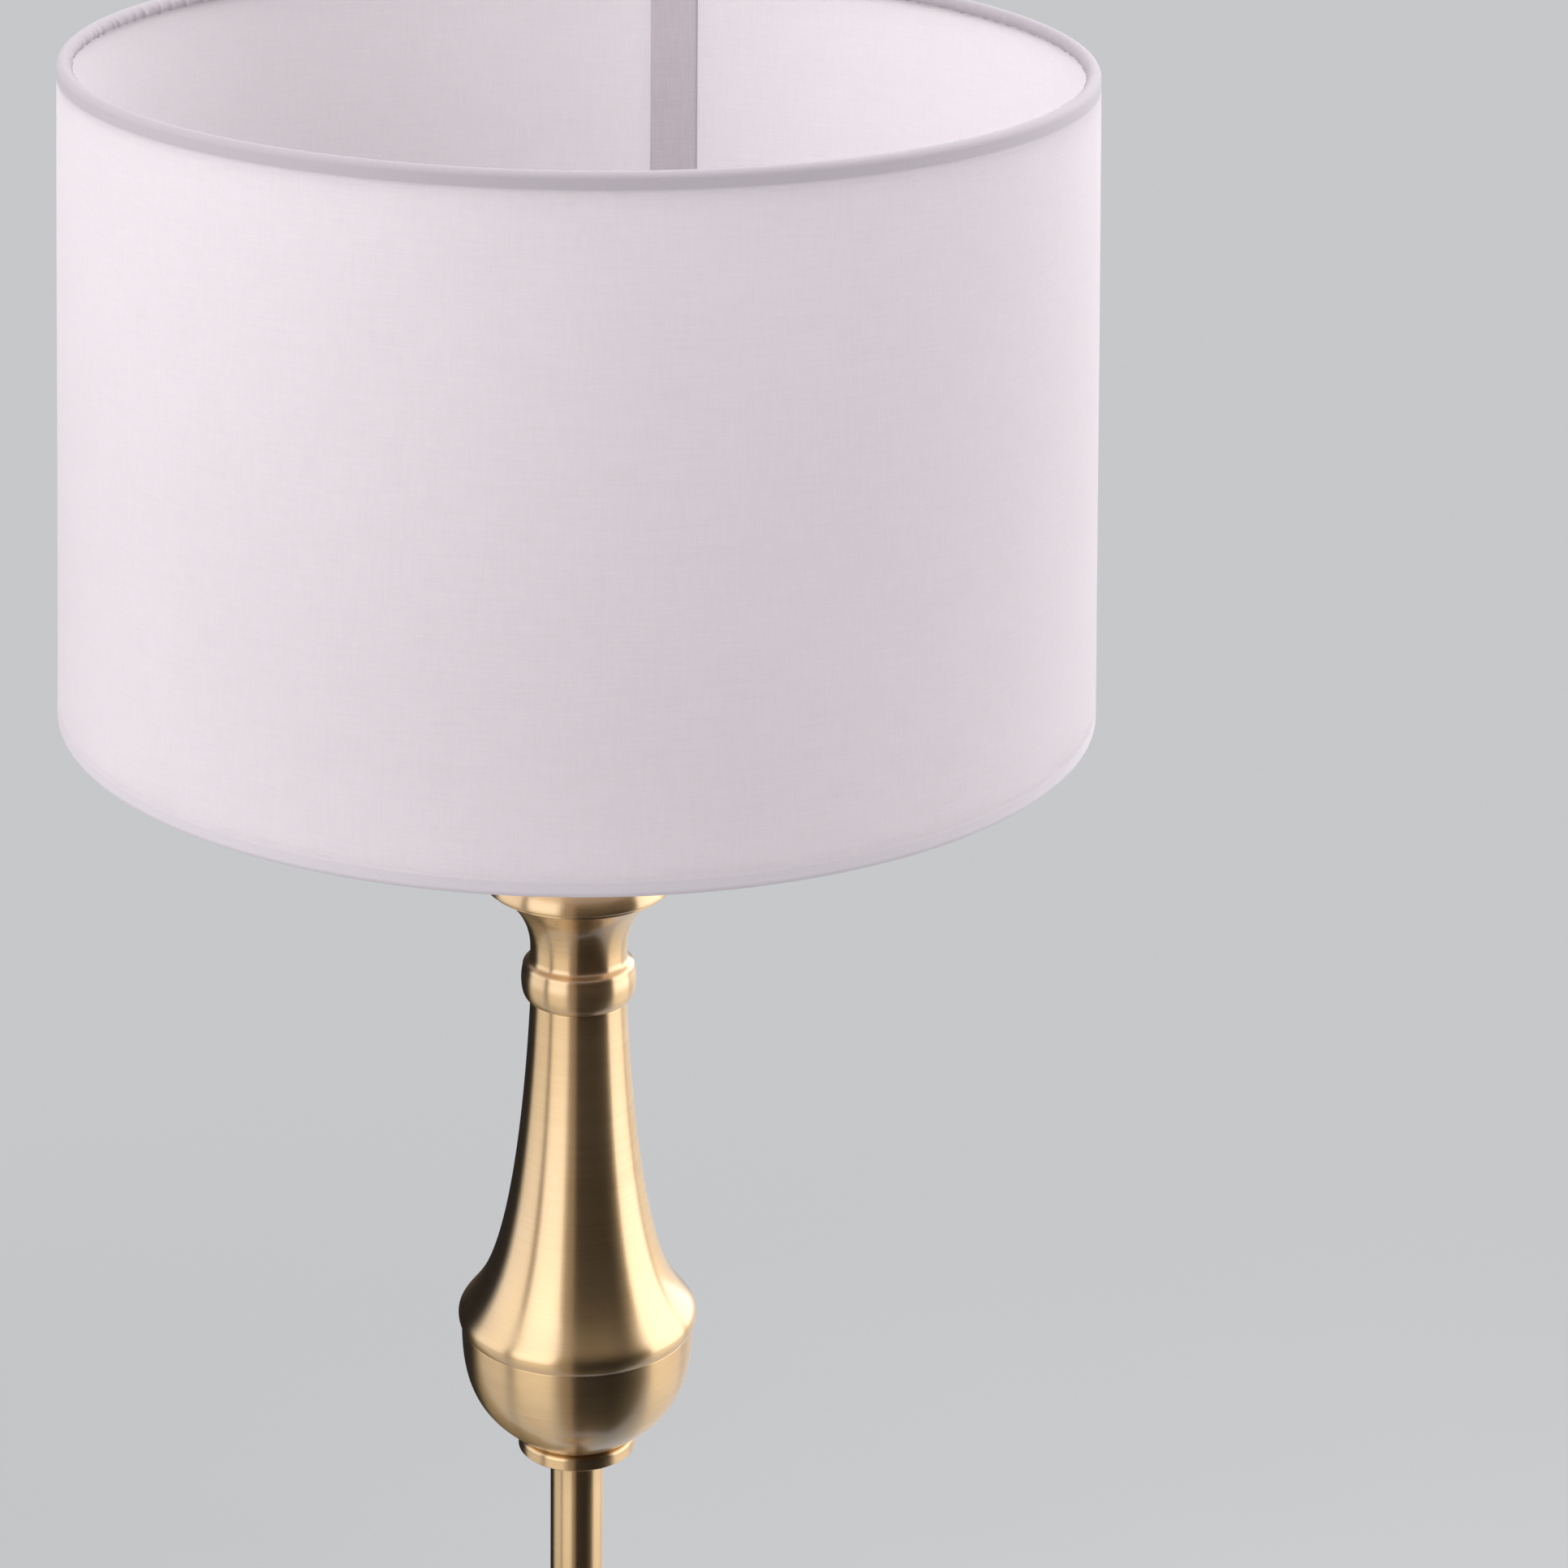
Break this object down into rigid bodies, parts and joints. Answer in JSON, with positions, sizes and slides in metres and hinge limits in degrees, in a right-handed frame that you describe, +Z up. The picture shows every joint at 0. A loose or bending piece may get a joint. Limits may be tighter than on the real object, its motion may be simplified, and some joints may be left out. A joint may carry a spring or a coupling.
{
  "type": "floor lamp",
  "caption": "Straight floor lamp with a round weighted base, turned brass vase stem, switched lampholder and white drum fabric shade.",
  "frame": {"origin": "on the floor, on the axis of the column", "axes": "+Z up along the column; the cable outlet is at the rear, +Y; the push bar lies along X"},
  "size_m": [0.3998, 0.3998, 1.562],
  "materials": {
    "antique_brass": "satin, lathe-brushed round the axis, light antique tone",
    "plain_brass": "bright drawn",
    "zinc_steel": "zinc plated",
    "cast_iron": "rough casting, black dipped",
    "black_plate": "matt black paint",
    "rubber": "matt",
    "bush_plastic": "moulded, matt black",
    "switch_moulding": "moulded, dark brown",
    "ceramic": "glazed ceramic",
    "shade_cotton": "fine plain-weave cotton, slight nap",
    "shade_lining": "smooth white film",
    "white_wire": "white powder coat",
    "bulb_insulator": "black glass",
    "bulb_cap_metal": "rolled, bright",
    "opal_glass": "opal white, smooth"
  },
  "bodies": {
    "lamp": {"base_cover": "antique_brass", "base_weight": "cast_iron", "bottom_plate": "black_plate", "rubber_feet": "rubber", "foot_screws": "zinc_steel", "cable_bush": "bush_plastic", "base_washer": "zinc_steel", "base_nut": "zinc_steel", "base_nipple": "zinc_steel", "base_collar": "antique_brass", "lower_tube": "antique_brass", "upper_tube": "antique_brass", "tube_coupler": "antique_brass", "coupler_stud": "zinc_steel", "tube_bushes": "plain_brass", "threaded_rod": "zinc_steel", "stem_collar": "antique_brass", "vase_bowl": "antique_brass", "vase_trumpet": "antique_brass", "neck": "antique_brass", "vase_cap": "antique_brass", "rod_washer": "zinc_steel", "rod_nut": "zinc_steel", "holder_dome": "antique_brass", "switch_block": "switch_moulding", "holder_body": "antique_brass", "holder_core": "ceramic", "screw_shell": "plain_brass", "contact_tongue": "plain_brass", "shade_ring": "antique_brass"},
    "shade": {"shade_cover": "shade_cotton", "shade_liner": "shade_lining", "seam_overlap": "shade_lining", "top_ring": "white_wire", "bottom_ring": "white_wire", "spider_arm_1": "white_wire", "spider_arm_2": "white_wire", "spider_arm_3": "white_wire", "fitter_ring": "white_wire"},
    "push_bar": {"push_bar": "switch_moulding", "push_bar_caps": "plain_brass"},
    "bulb_contact": {"bulb_contact": "bulb_insulator"},
    "bulb": {"bulb_cap": "bulb_cap_metal", "bulb_glass": "opal_glass"}
  },
  "joints": [
    {"name": "shade_turn", "type": "hinge", "parent": "lamp", "child": "shade", "pos_m": [0, 0, 1.322], "axis": [0, 0, 1], "continuous": true},
    {"name": "switch_push", "type": "slide", "parent": "lamp", "child": "push_bar", "axis": [1, 0, 0], "range_m": [0, 0.006]},
    {"name": "bulb_lift", "type": "slide", "parent": "lamp", "child": "bulb_contact", "axis": [0, 0, 1], "range_m": [0, 0.0109]},
    {"name": "bulb_screw", "type": "hinge", "parent": "bulb_contact", "child": "bulb", "pos_m": [0, 0, 1.322], "axis": [0, 0, 1], "range_deg": [0, 1080]}
  ],
  "couplings": [
    {"joint": "bulb_lift", "follows": "bulb_screw", "m_per_rad": 0.00057757}
  ]
}
